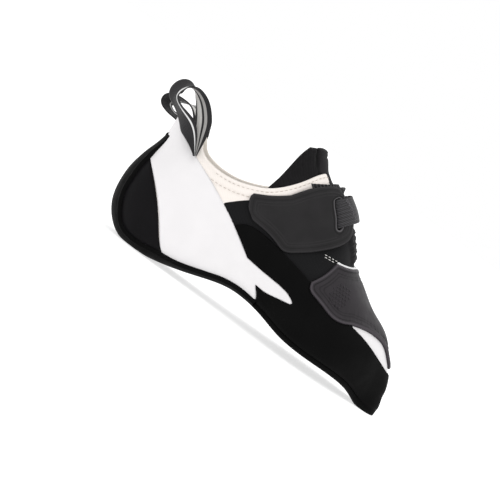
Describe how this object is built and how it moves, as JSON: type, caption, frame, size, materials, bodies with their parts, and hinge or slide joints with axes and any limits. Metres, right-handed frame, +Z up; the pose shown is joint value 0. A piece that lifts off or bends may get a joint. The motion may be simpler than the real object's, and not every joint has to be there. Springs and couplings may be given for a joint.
{
  "type": "climbing shoe",
  "caption": "Downturned climbing shoe for the right foot, with a hollow upper, a single strap over the instep, a rubber heel band, toe patch and rand, and loops to pull it on.",
  "frame": {"origin": "on the floor, under the middle of the flat spot of the heel", "axes": "+X towards the toe, +Y towards the inner side of the foot, +Z up"},
  "size_m": [0.2561, 0.0861, 0.139],
  "materials": {
    "rubber_black": "matte moulded rubber",
    "rubber_grey": "matte moulded rubber with raised lines",
    "fabric_cream": "soft lined textile",
    "fabric_black": "knitted textile",
    "panel_white": "smooth coated microfibre",
    "webbing_black": "woven tape"
  },
  "bodies": {
    "root": {"upper": "fabric_cream", "insole": "fabric_cream", "heel_band": "rubber_black", "outsole": "rubber_black", "forefoot_rand": "rubber_black", "heel_cup_outer": "rubber_black", "heel_cup_inner": "rubber_black", "heel_panel": "panel_white", "toe_patch": "rubber_grey", "tongue": "fabric_black", "strap_elastic": "fabric_black", "strap_tab": "rubber_black", "strap_webbing": "webbing_black", "pull_loop_outer": "webbing_black", "pull_loop_inner": "webbing_black"}
  },
  "joints": []
}
